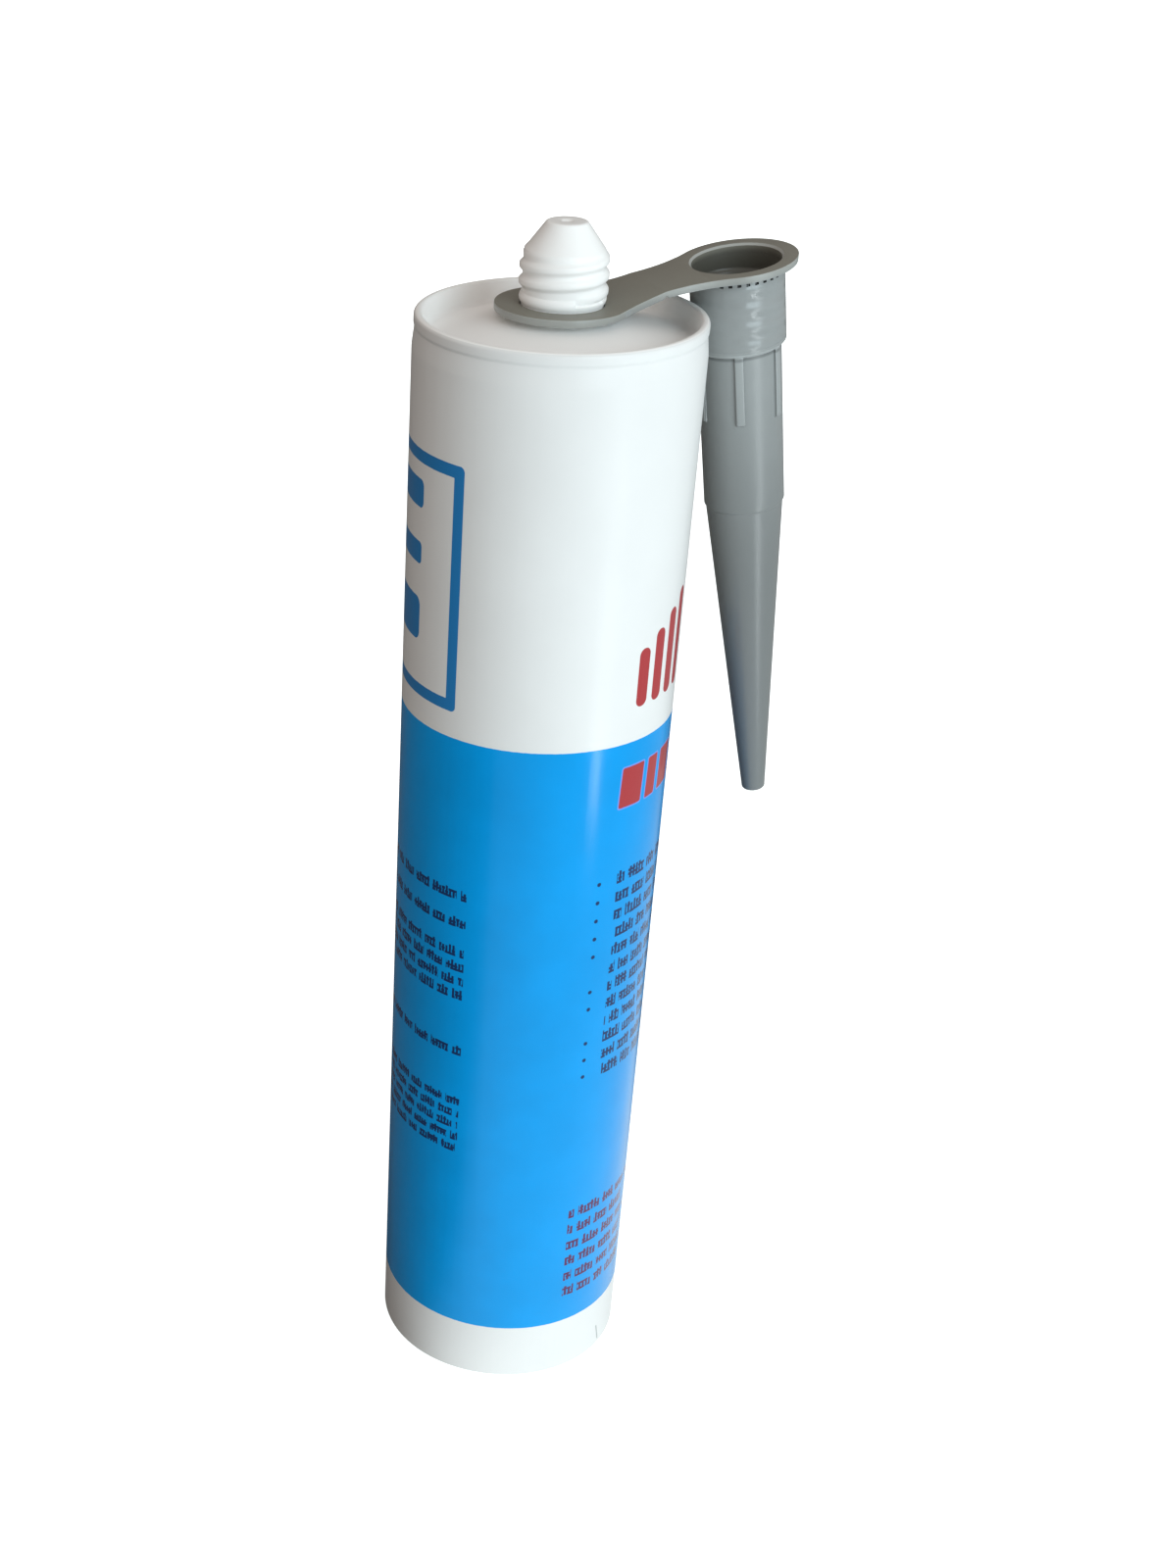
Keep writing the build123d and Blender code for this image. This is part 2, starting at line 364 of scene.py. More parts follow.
def swell(obj, low, high, root, lift):
    """Push a smooth bulge out of a wall of one radius, between two heights."""
    for vertex in obj.data.vertices:
        x, y, z = vertex.co
        radius = sqrt(x * x + y * y)
        if low < z < high and abs(radius - root) < ON_WALL:
            grown = radius + lift * sin(pi * (z - low) / (high - low)) ** 0.7
            vertex.co = Vector((x * grown / radius, y * grown / radius, z))


class Wire:
    """An output of a shader node. Python's operators on it add Math nodes."""

    def __init__(self, paint, socket):
        self.paint = paint
        self.socket = socket

    def math(self, operation, *values):
        return self.paint.node("ShaderNodeMath", {"operation": operation}, dict(enumerate(values)))

    def other(self, name):
        return Wire(self.paint, self.socket.node.outputs[name])

    def __add__(self, value):
        return self.math("ADD", self, value)

    def __sub__(self, value):
        return self.math("SUBTRACT", self, value)

    def __mul__(self, value):
        return self.math("MULTIPLY", self, value)

    def __truediv__(self, value):
        return self.math("DIVIDE", self, value)

    def __radd__(self, value):
        return self.math("ADD", value, self)

    def __rsub__(self, value):
        return self.math("SUBTRACT", value, self)

    def __rmul__(self, value):
        return self.math("MULTIPLY", value, self)

    def __rtruediv__(self, value):
        return self.math("DIVIDE", value, self)

    def __abs__(self):
        return self.math("ABSOLUTE", self)

    def floor(self):
        return self.math("FLOOR", self)

    def fract(self):
        return self.math("FRACT", self)

    def sine(self):
        return self.math("SINE", self)

    def root(self):
        return self.math("SQRT", self)

    def least(self, value):
        return self.math("MINIMUM", self, value)

    def most(self, value):
        return self.math("MAXIMUM", self, value)

    def angle_to(self, value):
        return self.math("ARCTAN2", self, value)

    def above(self, edge, blur):
        """0 below an edge and 1 above it, over a soft width."""
        return self.paint.node(
            "ShaderNodeMapRange",
            {"interpolation_type": "SMOOTHSTEP"},
            {"Value": self, "From Min": edge - blur / 2, "From Max": edge + blur / 2},
        )

    def within(self, low, high, blur):
        return self.above(low, blur) * (1 - self.above(high, blur))


class Nodes:
    """A node tree under construction."""

    def __init__(self, tree):
        self.tree = tree
        self.tree.nodes.clear()

    def node(self, kind, settings=None, values=None, output=0):
        """Add a node: its settings first, then the values or wires of its sockets."""
        node = self.tree.nodes.new(kind)
        for key, value in (settings or {}).items():
            setattr(node, key, value)
        for key, value in (values or {}).items():
            if isinstance(value, Wire):
                self.tree.links.new(value.socket, node.inputs[key])
            else:
                node.inputs[key].default_value = value
        return Wire(self, node.outputs[output]) if node.outputs else None

    def split(self, vector):
        x = self.node("ShaderNodeSeparateXYZ", values={"Vector": vector})
        return x, x.other("Y"), x.other("Z")

    def blend_values(self, first, second, share):
        return self.node("ShaderNodeMix", {"data_type": "FLOAT"}, {0: share, 2: first, 3: second})


class Paint(Nodes):
    """A material under construction, with one Principled shader."""

    def __init__(self, name, **constants):
        self.material = bpy.data.materials.new(name)
        self.material.use_nodes = True
        super().__init__(self.material.node_tree)
        values = {key.replace("_", " "): value for key, value in constants.items()}
        surface = self.node("ShaderNodeBsdfPrincipled", values=values)
        self.node("ShaderNodeOutputMaterial", values={"Surface": surface})
        self.shader = surface.socket.node

    def place(self, turn=0.0, scale=1 / MM):
        """Object coordinates in millimetres, turned about the tube's axis."""
        raw = self.node("ShaderNodeTexCoord", output="Object")
        values = {"Vector": raw, "Rotation": (0, 0, turn), "Scale": (scale,) * 3}
        return self.node("ShaderNodeMapping", {"vector_type": "POINT"}, values)

    def join(self, x, y, z):
        return self.node("ShaderNodeCombineXYZ", values={0: x, 1: y, 2: z})

    def stretch(self, vector, scale):
        return self.node("ShaderNodeVectorMath", {"operation": "MULTIPLY"}, {0: vector, 1: scale})

    def scaled(self, vector, share):
        return self.node("ShaderNodeVectorMath", {"operation": "SCALE"}, {0: vector, "Scale": share})

    def mark(self, name):
        """A number that the mesh holds at each corner."""
        return self.node("ShaderNodeAttribute", {"attribute_name": name}, output="Fac")

    def noise(self, vector, scale, detail):
        """Soft noise about 0.5."""
        return self.node("ShaderNodeTexNoise", values={"Vector": vector, "Scale": scale, "Detail": detail})

    def chance(self, x, y, seed):
        """A random number from 0 to 1 that is the same all over one cell."""
        cell = self.join(x, y, seed)
        return self.node("ShaderNodeTexWhiteNoise", {"noise_dimensions": "3D"}, {"Vector": cell})

    def mix(self, first, second, share):
        """Blend two colours."""
        first, second = (c if isinstance(c, Wire) else (*c, 1.0) for c in (first, second))
        return self.node("ShaderNodeMix", {"data_type": "RGBA"}, {0: share, 6: first, 7: second}, output=2)

    def bump(self, height):
        """Surface relief, from a height in millimetres."""
        values = {"Height": height, "Distance": MM, "Strength": 1.0}
        return self.node("ShaderNodeBump", values=values, output="Normal")

    def feed(self, **wires):
        """Join wires to the shader's sockets."""
        for key, wire in wires.items():
            self.tree.links.new(wire.socket, self.shader.inputs[key.replace("_", " ")])
        return self.material


def shaded(values, share):
    """A colour made lighter or darker by a share."""
    return tuple(c * share for c in values)


def rounded_field(arc, height, centre_arc, centre_height, half_width, half_height, corner, blur):
    """1 inside a round-cornered rectangle on the unrolled tube."""
    across = (abs(arc - centre_arc) - (half_width - corner)).most(0)
    up = (abs(height - centre_height) - (half_height - corner)).most(0)
    return 1 - (across * across + up * up).root().above(corner, blur)


def small_print(
    paint, arc, height, left, right, top, pitch, rows, cap, seed, ragged, word=5.6, advance=0.95
):
    """Rows of ticks and dashes in the place of small lettering, down from the first row's upper edge."""
    blur, margin, dash, stroke = 0.1, 0.15, 0.27, 0.31
    down = (top - height) / pitch
    row = down.floor()
    up = cap - down.fract() * pitch
    shift = paint.chance(row, 0.5, seed)
    edge = right - shift * ragged
    ends = arc.above(left, blur) * (1 - (arc - edge).above(0, blur)) * down.within(0, rows, 0.01)
    along = arc / word + shift * 9
    jitter = paint.chance(along.floor(), row, seed + 1) * 0.4
    words = abs(along.fract() - 0.3 - jitter).above(0.09, 0.02)
    cells = arc / advance + shift * 5
    cell, across = cells.floor(), cells.fract()
    body = cap * 0.76
    tall = paint.chance(cell, row, seed + 2).above(0.66, 0.01) * (cap - body) + body
    stem = (1 - abs(across - 0.5).above(stroke, 0.08)) * up.above(0, blur) * (1 - (up - tall).above(0, blur))
    first = (paint.chance(cell, row, seed + 3) * 3).floor() * (body / 2 - margin) + margin
    second = (paint.chance(cell, row, seed + 4) * 3).floor() * (body / 2 - margin) + margin
    dashes = 1 - abs(up - first).least(abs(up - second)).above(dash, 0.08)
    return ends * words * stem.most(dashes)


def tube_plastic(look):
    """White polyethylene with its print."""
    paint = Paint("tube_plastic", IOR=1.3)
    x, y, z = paint.split(paint.place(turn=radians(FACING)))
    radius = (x * x + y * y).root()
    tube_radius = TUBE_HIGH.x / MM
    arc = x.angle_to(0 - y) * tube_radius
    degree = tube_radius * pi / 180
    position = paint.place()
    wobble = (paint.noise(position, 0.9, 3.0) - 0.5) * 0.12
    height = z + wobble
    outer = radius.above(tube_radius - 0.45, 0.1)
    blur = 0.1

    mottle = paint.noise(position, 0.07, 3.0) - 0.5
    white = paint.mix(look.white, shaded(look.white, 0.95), 0.5 + mottle * 1.4)
    white = paint.mix(look.head_white, white, outer)

    band = height.within(look.band_low / MM, look.band_high / MM, blur) * outer
    printed = paint.mix(look.blue, shaded(look.blue, 0.86), 0.5 + mottle * 1.8)
    base = paint.mix(white, printed, band)

    # The outlined field and its three bars: centre and half width in degrees, foot, top and corner
    frame_right, frame_left = -34.6 * degree, -150.0 * degree
    frame_low, frame_high, frame_bar = 150.4, 194.6, 2.2
    mid_arc, mid_height = (frame_right + frame_left) / 2, (frame_low + frame_high) / 2
    half_arc, half_height = (frame_right - frame_left) / 2, (frame_high - frame_low) / 2
    outer_field = rounded_field(arc, height, mid_arc, mid_height, half_arc, half_height, 1.0, blur)
    inner_field = rounded_field(
        arc, height, mid_arc, mid_height, half_arc - frame_bar, half_height - frame_bar, 0.15, blur
    )
    base = paint.mix(base, look.frame_blue, outer_field * (1 - inner_field) * outer)
    for centre, half, low, high, corner in (
        (-92.0, 33.0, 160.5, 168.5, 1.6),
        (-89.0, 30.0, 174.5, 178.5, 0.9),
        (-80.0, 21.5, 184.5, 189.5, 1.2),
    ):
        middle, rise = (low + high) / 2, (high - low) / 2
        bar = rounded_field(arc, height, centre * degree, middle, half * degree, rise, corner, blur)
        base = paint.mix(base, look.frame_blue, bar * outer)

    # Four red bars of growing height
    foot, half, corner = 152.0, 1.35, 1.3
    for number in range(4):
        centre = (47.2 + number * 9.5) * degree
        top = 163.0 + number * 2.5
        bar = rounded_field(arc, height, centre, (foot + top) / 2, half, (top - foot) / 2, corner, blur)
        base = paint.mix(base, look.red, bar * outer)

    # Slanted red blocks with a pale edge, in the place of the heading
    slant = arc - (height - 132.6) * 0.05
    start = 39.5 * degree
    middle, rise, edge = 136.6, 4.0, 0.28
    for width in (5.6, 3.2, 5.2, 4.2, 6.0):
        half = width / 2
        letter = rounded_field(slant, height, start + half, middle, half, rise, 0.4, blur)
        halo = rounded_field(slant, height, start + half, middle, half + edge, rise + edge, 0.6, blur)
        base = paint.mix(base, (0.16, 0.30, 0.80), halo * outer)
        base = paint.mix(base, look.red, letter * outer)
        start += width + 1.4

    # Small print at the right with its bullets, small print at the left, and the rows at the foot
    top, pitch, count = 119.4, 3.89, 12
    rows = small_print(paint, arc, height, 42.4 * degree, 118 * degree, top, pitch, count, 2.5, 3.1, 9.0)
    bullet_row = (top - height) / pitch
    across, up = arc - 33.0 * degree, (bullet_row.fract() - 0.42) * pitch
    kept = abs(bullet_row.floor() - 5).above(0.5, 0.1) * abs(bullet_row.floor() - 8).above(0.5, 0.1)
    dots = 1 - (across * across + up * up).root().above(0.42, 0.15)
    rows = rows.most(dots * kept * bullet_row.within(0, count, 0.01))
    for top, pitch, count, cap, seed in (
        (115.5, 5.8, 2, 2.1, 11.1),
        (103.3, 3.1, 4, 2.1, 21.1),
        (81.4, 3.0, 1, 2.1, 31.1),
        (69.4, 2.8, 5, 1.9, 41.1),
    ):
        left, right, advance = -116 * degree, -23.5 * degree, cap * 0.38
        more = small_print(paint, arc, height, left, right, top, pitch, count, cap, seed, 0.6, 5.0, advance)
        rows = rows.most(more)
    base = paint.mix(base, look.dark, rows * band)
    feet = small_print(paint, arc, height, 31.8 * degree, 92 * degree, 42.7, 4.1, 6, 2.4, 51.1, 8.0)
    base = paint.mix(base, look.plum, feet * band)

    # The moulding's tick below the band
    middle = 3.3
    tick = rounded_field(arc + (height - middle) * 0.25, height, 59.7 * degree, middle, 0.22, 2.2, 0.1, blur)
    base = paint.mix(base, (0.25, 0.27, 0.27), tick * outer * 0.7)

    relief = paint.noise(paint.stretch(position, (1, 1, 0.03)), 0.5, 2.0) * 0.03
    rough = 0.3 + (paint.noise(position, 0.05, 2.0) - 0.5) * 0.08 - band * 0.1
    return paint.feed(Base_Color=base, Roughness=rough, Normal=paint.bump(relief))


def nozzle_plastic(look, mouth, lean):
    """Grey polyethylene: satin sides with sink marks of its inner thread, matte upper faces in painted olive
    shade.
    """
    paint = Paint("nozzle_plastic", IOR=1.48)
    position = paint.place()
    x, y, z = paint.split(position)
    side, fall = x - mouth.x / MM, z - mouth.z / MM
    along = side * sin(lean) - fall * cos(lean)
    across = side * cos(lean) + fall * sin(lean)
    cloud = paint.noise(position, 0.22, 4.0)
    fine = paint.noise(position, 3.0, 3.0)
    grey, matte_and_shade = look.grey, look.top_shade_grey
    # Painted shade: the spout and the inside of the socket are painted darker
    base = paint.mix(shaded(grey, 0.95), shaded(grey, 1.05), cloud)
    base = paint.mix(base, shaded(grey, 0.64), along.above(35.0, 50.0))
    # Upper faces and the socket's wall are rougher and painted a darker olive in the place of their shade
    mark = paint.mark("matte_and_shade")
    painted_shade = paint.mix(shaded(matte_and_shade, 0.93), shaded(matte_and_shade, 1.07), cloud)
    painted_shade = paint.mix(painted_shade, shaded(matte_and_shade, 0.5), along.above(0.9, 1.2))
    # Each face's painted light and shade multiplies the colour
    base = paint.scaled(paint.mix(base, painted_shade, mark), paint.mark("painted_light_and_shade"))
    # Painted highlight and painted shadow: a light line at the collar's foot and a dark line on the barrel
    # under it
    lip_highlight_and_shadow = along.within(14.15, 14.75, 0.25) * 0.4 - along.within(14.85, 15.4, 0.4) * 0.4
    base = paint.scaled(base, lip_highlight_and_shadow + 1)
    turn = y.angle_to(across) / tau
    wave = ((along / 3.3 - turn) * tau).sine()
    collar = along.within(2.2, 13.6, 1.6)
    relief = wave * collar * (1 - mark) * 0.12 + fine * 0.004 + paint.noise(position, 0.6, 2.0) * 0.03
    rough = 0.31 - collar * 0.09 + (cloud - 0.5) * 0.06 + mark * 0.14
    return paint.feed(Base_Color=base, Roughness=rough, Normal=paint.bump(relief))


def piston_plastic():
    """Natural polyethylene of the piston."""
    paint = Paint("piston_plastic", Roughness=0.45)
    position = paint.place()
    cloud = paint.noise(position, 0.15, 3.0)
    base = paint.mix((0.70, 0.71, 0.69), (0.62, 0.63, 0.61), cloud)
    relief = paint.noise(position, 2.0, 3.0) * 0.01
    return paint.feed(Base_Color=base, Roughness=0.4 + (cloud - 0.5) * 0.1, Normal=paint.bump(relief))


def sealant_paste():
    """Smooth sealant, slightly wet."""
    paint = Paint("sealant_paste")
    position = paint.place()
    cloud = paint.noise(position, 0.1, 4.0)
    base = paint.mix((0.62, 0.60, 0.55), (0.52, 0.50, 0.46), cloud)
    relief = paint.noise(position, 0.5, 4.0) * 0.08
    return paint.feed(Base_Color=base, Roughness=0.3 + cloud * 0.1, Normal=paint.bump(relief))


def heading(azimuth):
    """Angle about the tube's axis of an azimuth in degrees to the camera's right."""
    return radians(azimuth - FACING - 90)


def white_floor(look):
    """Pale floor: white to the camera, with the object's shadow kept, and bright in front."""
    paint = Paint("white_floor", Roughness=0.9, Emission_Strength=1.0)
    seen = paint.node("ShaderNodeLightPath", output="Is Camera Ray")
    position = paint.place(scale=1.0)
    x, y, _ = paint.split(position)
    distance = (x * x + y * y).root()
    away = distance.above(0.6, 0.9)
    front = heading(look.bounce_azimuth)
    lit = (x * cos(front) + y * sin(front)).above(look.bounce_edge, 0.03)
    lit = lit * (1 - distance.above(0.2, 0.28) * 0.65)
    base = paint.mix((0.11, 0.11, 0.11), (0.82, 0.82, 0.82), seen)
    base = paint.mix(base, (0.5, 0.5, 0.5), paint.noise(position, 9.0, 2.0) * 0.05)
    # The floor in front glows for all rays but the camera's, as painted bounce light on the tube
    glow = seen * (0.8 + away * 0.4) + (1 - seen) * lit * look.bounce
    return paint.feed(Base_Color=base, Emission_Color=paint.scaled((0.93, 1.0, 1.0), glow))


class CAULK_OT_tube(bpy.types.Operator):
    """Spin the tube, rim, head and threaded neck as one moulding"""

    bl_idname = "caulk.tube"
    bl_label = "Tube"

    def execute(self, context):
        size = context.scene.caulk_tube
        tube = TUBE_HIGH.x
        bore = tube - size.wall
        rim = tube - size.rim_setback
        recess = rim - size.rim_wall
        head = size.height - size.head_depth
        seat = head + size.seat_height
        top = TUBE_HIGH.z
        cone = top - size.cone_length
        dome = head + size.head_rise
        dimple_depth, dimple_radius = 0.7 * MM, 1.1 * MM
        flank, chamfer = 0.5 * MM, 0.7 * MM
        fade_depth, fade_length = 0.3 * MM, 2.5 * MM
        groove = size.height - size.rim_height - flank
        shoulder = groove - 0.8 * MM
        outline = [
            (0, top - dimple_depth),
            (dimple_radius, top),
            (size.tip_radius, top),
            (size.neck_radius, cone),
            (size.neck_radius, seat),
            (size.seat_radius, seat),
            (size.seat_radius, dome),
            (recess, head),
            (recess + size.rim_draft, size.height),
            (rim, size.height),
            (rim, groove + flank),
            (tube - size.groove_depth, groove),
            (tube - fade_depth, shoulder),
            (tube, shoulder - fade_length),
            (tube, 0),
            (bore + chamfer, 0),
            (bore, chamfer),
            (bore, head - size.head_wall),
            (size.neck_bore, dome - size.head_wall),
            (size.neck_bore, cone),
            (size.tip_radius - size.tip_wall, top - size.tip_wall),
            (0, top - size.tip_wall),
        ]
        rounds = [(1, 0.3, 3), (2, 0.6, 5), (3, 1.2, 5), (5, 0.12, 3), (7, 1.0, 6), (8, 0.55, 6)]
        rounds += [(9, 0.7, 7), (10, 0.5, 4), (11, 0.5, 5), (12, 1.6, 6), (13, 6.0, 5), (14, 0.3, 3)]
        obj = lathe("tube_moulding", outline, rounds, size.round_steps, cuts=[(4, 3, 44), (3, 2, 24)])

        def root(height):
            share = min(max((height - cone) / (top - cone), 0), 1)
            return size.neck_radius + (size.tip_radius - size.neck_radius) * share

        ring_space, thread_gap = 1.5 * MM, 0.5 * MM
        lift, pitch, start = size.thread_height, size.thread_pitch, size.thread_start
        low = seat + ring_space + thread_gap
        high = low + pitch * (size.thread_turns + 1)
        wind_thread(obj, low, high, root, lift, pitch, start, low_fade=0.12, high_fade=0.7)
        swell_low, swell_high = seat + 1.6 * MM, seat + 3.4 * MM
        swell(obj, swell_low, swell_high, size.neck_radius, size.foot_swell)
        finish_piece(obj, "tube", tube_plastic(context.scene.caulk_print))
        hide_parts("cartridge")
        return {"FINISHED"}


class CAULK_OT_contents(bpy.types.Operator):
    """Fill the tube and the neck with sealant, and finish the piston behind it"""

    bl_idname = "caulk.contents"
    bl_label = "Sealant and piston"

    def execute(self, context):
        size = context.scene.caulk_tube
        radius = TUBE_HIGH.x - size.wall - CLEARANCE
        low = PISTON_HIGH.z + CLEARANCE
        head = size.height - size.head_depth - size.head_wall
        paste = sealant_paste()
        shoulder = head - CLEARANCE
        edge, steps = 0.6, 96
        outline = [(0, low), (radius, low), (radius, shoulder), (0, shoulder)]
        column = lathe("sealant_column", outline, [(1, edge, 3)], steps, cuts=[(1, 2, 24)])
        finish_piece(column, "tube", paste)
        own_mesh(column)
        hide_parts("sealant")
        plug = size.neck_bore - CLEARANCE
        top = TUBE_HIGH.z - size.cone_length - CLEARANCE
        foot = shoulder + CLEARANCE / 10
        crown = shoulder + size.head_rise
        outline = [(0, foot), (radius, foot), (plug, crown), (plug, top), (0, top)]
        core = lathe("sealant_plug", outline, [(3, edge, 3)], steps)
        finish_piece(core, "tube", paste)
        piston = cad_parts["piston"]
        piston.data.materials.clear()
        piston.data.materials.append(piston_plastic())
        choose(piston)
        bpy.ops.object.shade_smooth_by_angle(angle=radians(PISTON_SMOOTH_ANGLE))
        return {"FINISHED"}


def mark_matte_and_shade(obj, mouth, size):
    """Mark faces for the material: upper faces and socket wall rough in painted olive shade, each face's
    painted light and shade.
    """
    axis = Vector((sin(size.lean), 0, -cos(size.lean)))
    mark = obj.data.attributes.new("matte_and_shade", "FLOAT", "CORNER")
    painted_light_and_shade = obj.data.attributes.new("painted_light_and_shade", "FLOAT", "CORNER")
    hollow = size.socket_radius + 0.06 * MM
    skin = size.socket_radius + size.collar_wall - 0.05 * MM
    for face in obj.data.polygons:
        offset = face.center - mouth
        along = offset.dot(axis)
        away = offset - axis * along
        socket = away.length < size.socket_radius + 0.1 * MM and face.normal.dot(away) < 0
        upper = face.normal.z > 0.93 and face.center.z > TUBE_HIGH.z - 15 * MM
        sheet = not socket and not upper and along < size.thickness * 0.9
        # Painted shade and light: the pits dark, the strap's edges and underside light, the ribs dark beside
        # their crests
        shade = 1.0
        if size.thickness < along < size.thickness + 1.6 * MM and hollow < away.length < skin:
            shade = 0.1
        elif sheet:
            shade = 1.25 if abs(face.normal.z) < 0.45 else 1.6
        elif size.collar_length < along < size.rib_end and away.length > size.barrel_radius + 0.08 * MM:
            shade = 1.18 if face.normal.dot(away.normalized()) > 0.75 else 0.5
        # Upper faces and socket wall take the full painted olive shade, the strap's other faces part of it
        for corner in face.loop_indices:
            mark.data[corner].value = 1.0 if upper or socket else 0.4 if sheet else 0.0
            painted_light_and_shade.data[corner].value = shade


def mouth_reach(size, collar, crease, rim_height):
    """Reach at which the leaning collar just clears the rim."""
    slope = tan(size.lean)
    beside = TUBE_HIGH.x + NOZZLE_GAP + collar * cos(size.lean)
    drop = (crease - rim_height) / cos(size.lean) - collar * slope
    return (beside - drop * sin(size.lean) + size.crease_reach * slope**2) / (1 + slope**2)


def arc_points(centre, radius, start, end, steps):
    """Points of an arc, without its last."""
    turns = [start + (end - start) * step / steps for step in range(steps)]
    return [Vector((centre.x + radius * cos(a), centre.y + radius * sin(a), 0)) for a in turns]


def strap_plan(size, mouth_x):
    """Plan of the strap: round the ring, along a hollow arc, round the flange, and back."""
    ring_pull = size.ring_radius + size.waist_arc
    flange_pull = size.flange_radius + size.waist_arc
    arc_x = (mouth_x**2 + ring_pull**2 - flange_pull**2) / (2 * mouth_x)
    arc_y = sqrt(ring_pull**2 - arc_x**2)
    ring, flange = Vector((0, 0, 0)), Vector((mouth_x, 0, 0))
    ring_angle = atan2(arc_y, arc_x)
    flange_angle = atan2(arc_y, arc_x - mouth_x)
    to_ring, to_flange = atan2(arc_y, -arc_x), atan2(arc_y, mouth_x - arc_x)
    points = arc_points(ring, size.ring_radius, ring_angle, tau - ring_angle, RING_STEPS)
    points += arc_points(Vector((arc_x, -arc_y, 0)), size.waist_arc, to_ring, to_flange, WAIST_STEPS)
    points += arc_points(flange, size.flange_radius, -flange_angle, flange_angle, RING_STEPS)
    points += arc_points(Vector((arc_x, arc_y, 0)), size.waist_arc, -to_flange, -to_ring, WAIST_STEPS)
    return points + points[:1]


def bevel_edges(obj, width, angle):
    """Round the edges whose faces meet at more than an angle in degrees."""
    limit = radians(angle)
    apply_modifier(obj, "BEVEL", width=width, segments=3, limit_method="ANGLE", angle_limit=limit)


def combine(obj, tool, operation):
    """Join a tool to an object or cut it out, and remove the tool."""
    apply_modifier(obj, "BOOLEAN", operation=operation, object=tool, solver="EXACT")
    bpy.data.objects.remove(tool)


def bend_strap(size, mouth_x, ring_top, crease, slope):
    """Cut the strap flat, divide it across, and bend it to its side view."""
    low = -size.thickness
    plate = draw_chain("strap", strap_plan(size, mouth_x))
    bpy.ops.mesh.select_all(action="SELECT")
    bpy.ops.mesh.remove_doubles(threshold=SAME_POINT)
    bpy.ops.mesh.edge_face_add()
    bpy.ops.mesh.extrude_region_move(TRANSFORM_OT_translate={"value": (0, 0, low)})
    outward(plate)
    deselect()
    depth = 4 * size.thickness
    bpy.ops.mesh.primitive_cylinder_add(vertices=RING_STEPS, radius=size.ring_bore, depth=depth)
    combine(plate, bpy.context.object, "DIFFERENCE")
    choose(plate)
    bpy.ops.object.mode_set(mode="EDIT")
    step = 0.8 * MM
    first = -size.ring_radius
    count = int((mouth_x + size.flange_radius - first) / step)
    fold = 0.5 * MM
    cuts = [first + step * (number + 1) for number in range(count)]
    cuts = [x for x in cuts if abs(x - size.crease_reach) > fold * 1.5]
    cuts += [size.crease_reach - fold, size.crease_reach, size.crease_reach + fold]
    for x in cuts:
        bpy.ops.mesh.select_all(action="SELECT")
        bpy.ops.mesh.bisect(plane_co=(x, 0, 0), plane_no=(1, 0, 0))
    bpy.ops.object.mode_set(mode="OBJECT")
    for vertex in plate.data.vertices:
        x = vertex.co.x
        rise = side_view(size, x, crease - ring_top, slope)
        if vertex.co.z < low / 2:
            rise += max(0, fold - abs(x - size.crease_reach))
        vertex.co.z += ring_top + rise
    bevel_edges(plate, 0.16 * MM, 50)
    return plate


def side_view(size, x, rise, slope):
    """Height of the bent strap over the ring's plane."""
    if x > size.crease_reach:
        return rise + (x - size.crease_reach) * slope
    start, hollow = size.ring_bend * 0.72, 1.35
    share = min(max((x - start) / (size.crease_reach - start), 0), 1)
    return rise * share**hollow


def mouth_cutter(size, lean):
    """Cylinder with a chamfered shoulder that opens the flange over the socket."""
    high, deep, bevel = 3 * MM, size.thickness + 0.1 * MM, 0.35 * MM
    bore = size.socket_radius + 0.04 * MM
    outer = bore + bevel
    outline = [(0, -deep), (bore, -deep), (bore, -bevel), (outer, 0), (outer, high), (0, high)]
    cutter = lathe("cutter", outline, [], size.round_steps)
    place(cutter, lean)
    return cutter


def spin_body(size, collar):
    """Spin the collar, barrel and spout about the nozzle's axis, and add ribs and perforations."""
    foot = size.barrel_radius - size.barrel_taper
    spout = foot - size.step_depth
    under = -size.thickness / 2
    chamfer = 0.6 * MM
    outline = [
        (size.socket_radius, under),
        (collar, under),
        (collar, -size.collar_length + chamfer),
        (collar - chamfer, -size.collar_length),
        (size.barrel_radius, -size.collar_length),
        (foot, -size.barrel_end),
        (spout, -size.barrel_end - size.step_depth),
        (size.spout_tip, -size.spout_end),
        (size.spout_tip - size.wall, -size.spout_end),
        (spout - size.wall, -size.barrel_end),
        (size.barrel_radius - size.wall, -size.socket_length - 1.5 * MM),
        (size.socket_radius, -size.socket_length),
        (size.socket_radius, under),
    ]
    rounds = [(2, 0.5, 3), (3, 0.3, 3), (5, 0.2, 3), (6, 0.3, 3), (7, 0.4, 4), (8, 0.2, 3)]
    obj = lathe("body", outline, rounds, size.round_steps, cuts=[(11, 12, 60), (5, 4, 8), (7, 6, 16)])
    low, high = -size.socket_length + 0.4 * MM, -2.0 * MM
    radius, lift, pitch, fade = size.socket_radius, -0.55 * MM, 2.55 * MM, 0.4
    wind_thread(obj, low, high, lambda height: radius, lift, pitch, 0.0, fade, fade)
    add_ribs(obj, size)
    cut_perforations(obj, size, collar)
    return obj


def add_ribs(obj, size):
    """Join short ribs to the barrel, each run out at its lower end."""
    inner = size.barrel_radius - size.wall / 2
    top = -size.collar_length + 0.3 * MM
    depth = size.barrel_radius + size.rib_height - inner
    lowest, outermost = -size.rib_end, inner + depth
    sides = (depth, size.rib_width, size.rib_end + top)
    for number in range(size.rib_count):
        rib = block(sides, (inner + depth / 2, 0, (top - size.rib_end) / 2))
        bpy.ops.object.mode_set(mode="EDIT")
        pick(rib, lambda co: co.z < lowest + MM / 10 and co.x > outermost - MM / 10)
        bpy.ops.transform.translate(value=(0, 0, size.rib_height))
        bpy.ops.object.mode_set(mode="OBJECT")
        bevel_edges(rib, 0.3 * MM, 30)
        place(rib, Matrix.Rotation(tau * number / size.rib_count, 4, "Z"))
        combine(obj, rib, "UNION")


